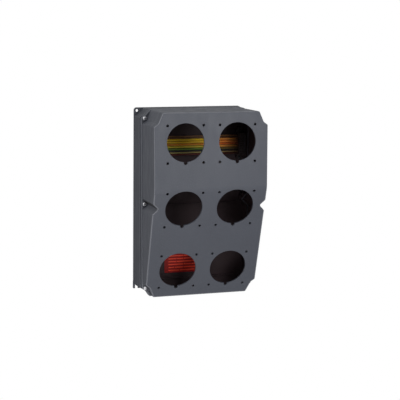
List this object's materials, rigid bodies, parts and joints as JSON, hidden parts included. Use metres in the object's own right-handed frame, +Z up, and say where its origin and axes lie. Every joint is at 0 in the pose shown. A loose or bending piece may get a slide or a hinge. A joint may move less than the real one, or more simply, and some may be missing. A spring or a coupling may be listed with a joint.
{
  "type": "socket distribution enclosure",
  "caption": "Wall-mounted moulded enclosure with a slanted front cover cut out for round panel sockets, with captive cover screws, gasket and an internal wiring loom.",
  "frame": {"origin": "centre of the flat rear face that goes against the wall", "axes": "+Z up, -Y out of the front (away from the wall), +X to the right seen from the front"},
  "size_m": [0.2028, 0.124, 0.3146],
  "materials": {
    "housing": "fine matte moulded texture",
    "gasket_rubber": "matt",
    "steel": "bright zinc plated",
    "nylon": "satin",
    "brass": "turned",
    "black_moulding": "satin",
    "label_red": "printed card",
    "wire_beige": "PVC insulation",
    "wire_brown": "PVC insulation",
    "wire_yellow_upper": "PVC insulation",
    "wire_yellow_lower": "PVC insulation",
    "wire_orange": "PVC insulation",
    "wire_olive": "PVC insulation",
    "wire_green": "PVC insulation",
    "wire_black": "PVC insulation",
    "wire_pale_green": "PVC insulation",
    "wire_red": "PVC insulation"
  },
  "bodies": {
    "box": {"rear_box": "housing", "cover_gasket": "gasket_rubber", "threaded_insert_1": "brass", "threaded_insert_2": "brass", "threaded_insert_3": "brass", "threaded_insert_4": "brass", "threaded_insert_5": "brass", "threaded_insert_6": "brass", "terminal_strip_left": "black_moulding", "terminal_strip_right": "black_moulding", "strip_screw_1": "steel", "strip_screw_2": "steel", "strip_screw_3": "steel", "strip_screw_4": "steel", "loom_saddle": "nylon", "saddle_screw_5": "steel", "saddle_screw_6": "steel", "wire_beige": "wire_beige", "wire_brown": "wire_brown", "wire_yellow_upper": "wire_yellow_upper", "wire_yellow_lower": "wire_yellow_lower", "wire_orange": "wire_orange", "wire_olive": "wire_olive", "wire_green": "wire_green", "wire_black": "wire_black", "wire_pale_green": "wire_pale_green", "wire_red": "wire_red", "instruction_label": "label_red"},
    "cover": {"front_cover": "housing"},
    "washer_1": {"screw_washer_1": "nylon"},
    "screw_1": {"cover_screw_1": "steel"},
    "washer_2": {"screw_washer_2": "nylon"},
    "screw_2": {"cover_screw_2": "steel"},
    "washer_3": {"screw_washer_3": "nylon"},
    "screw_3": {"cover_screw_3": "steel"},
    "washer_4": {"screw_washer_4": "nylon"},
    "screw_4": {"cover_screw_4": "steel"},
    "washer_5": {"screw_washer_5": "nylon"},
    "screw_5": {"cover_screw_5": "steel"},
    "washer_6": {"screw_washer_6": "nylon"},
    "screw_6": {"cover_screw_6": "steel"}
  },
  "joints": [
    {"name": "cover_lift", "type": "slide", "parent": "box", "child": "cover", "axis": [0, -1, 0], "range_m": [0, 0.1]},
    {"name": "screw_1_travel", "type": "slide", "parent": "cover", "child": "washer_1", "axis": [0, -1, 0], "range_m": [0, 0.009]},
    {"name": "screw_1_turn", "type": "hinge", "parent": "washer_1", "child": "screw_1", "pos_m": [-0.0918, -0.05, 0.1424], "axis": [0, -1, 0], "range_deg": [0, 5400]},
    {"name": "screw_2_travel", "type": "slide", "parent": "cover", "child": "washer_2", "axis": [0, -1, 0], "range_m": [0, 0.009]},
    {"name": "screw_2_turn", "type": "hinge", "parent": "washer_2", "child": "screw_2", "pos_m": [-0.0925, -0.05, 0], "axis": [0, -1, 0], "range_deg": [0, 5400]},
    {"name": "screw_3_travel", "type": "slide", "parent": "cover", "child": "washer_3", "axis": [0, -1, 0], "range_m": [0, 0.009]},
    {"name": "screw_3_turn", "type": "hinge", "parent": "washer_3", "child": "screw_3", "pos_m": [-0.0918, -0.05, -0.1424], "axis": [0, -1, 0], "range_deg": [0, 5400]},
    {"name": "screw_4_travel", "type": "slide", "parent": "cover", "child": "washer_4", "axis": [0, -1, 0], "range_m": [0, 0.009]},
    {"name": "screw_4_turn", "type": "hinge", "parent": "washer_4", "child": "screw_4", "pos_m": [0.0918, -0.05, 0.1424], "axis": [0, -1, 0], "range_deg": [0, 5400]},
    {"name": "screw_5_travel", "type": "slide", "parent": "cover", "child": "washer_5", "axis": [0, -1, 0], "range_m": [0, 0.009]},
    {"name": "screw_5_turn", "type": "hinge", "parent": "washer_5", "child": "screw_5", "pos_m": [0.0925, -0.05, 0], "axis": [0, -1, 0], "range_deg": [0, 5400]},
    {"name": "screw_6_travel", "type": "slide", "parent": "cover", "child": "washer_6", "axis": [0, -1, 0], "range_m": [0, 0.009]},
    {"name": "screw_6_turn", "type": "hinge", "parent": "washer_6", "child": "screw_6", "pos_m": [0.0918, -0.05, -0.1424], "axis": [0, -1, 0], "range_deg": [0, 5400]}
  ]
}
